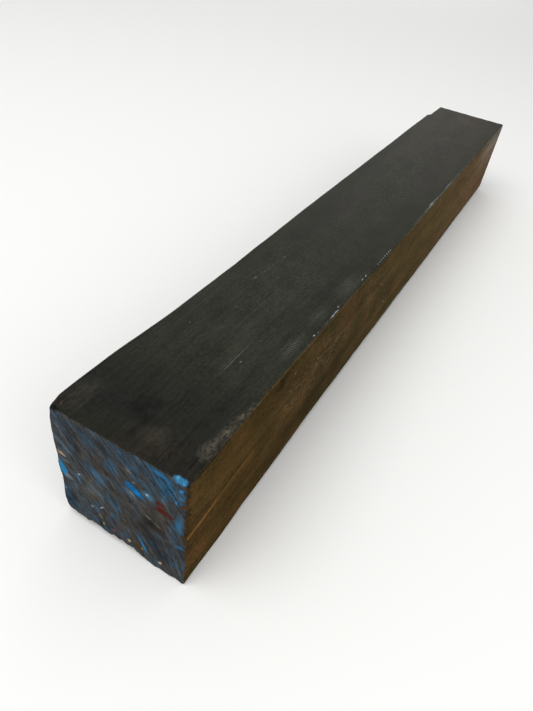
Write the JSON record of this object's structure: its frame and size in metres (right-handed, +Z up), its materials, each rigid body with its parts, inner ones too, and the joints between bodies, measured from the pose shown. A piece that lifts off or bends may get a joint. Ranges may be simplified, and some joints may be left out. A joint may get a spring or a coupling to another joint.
{
  "type": "ebony wood square",
  "caption": "Squared ebony turning blank, dark charcoal with one brown side, rough-sawn ends, and blue sealer brushed over one end.",
  "frame": {"origin": "middle of the flat underside, at the bottom centre of the bounding box", "axes": "+X along the grain from the sealed end to the bare end, +Y from the brown side to the opposite side, +Z up"},
  "size_m": [0.415, 0.053, 0.0528],
  "materials": {
    "ebony": "rough-sawn heartwood, charcoal with a brown side, and blue sealer on one end"
  },
  "bodies": {
    "root": {"ebony_square": "ebony"}
  },
  "joints": []
}
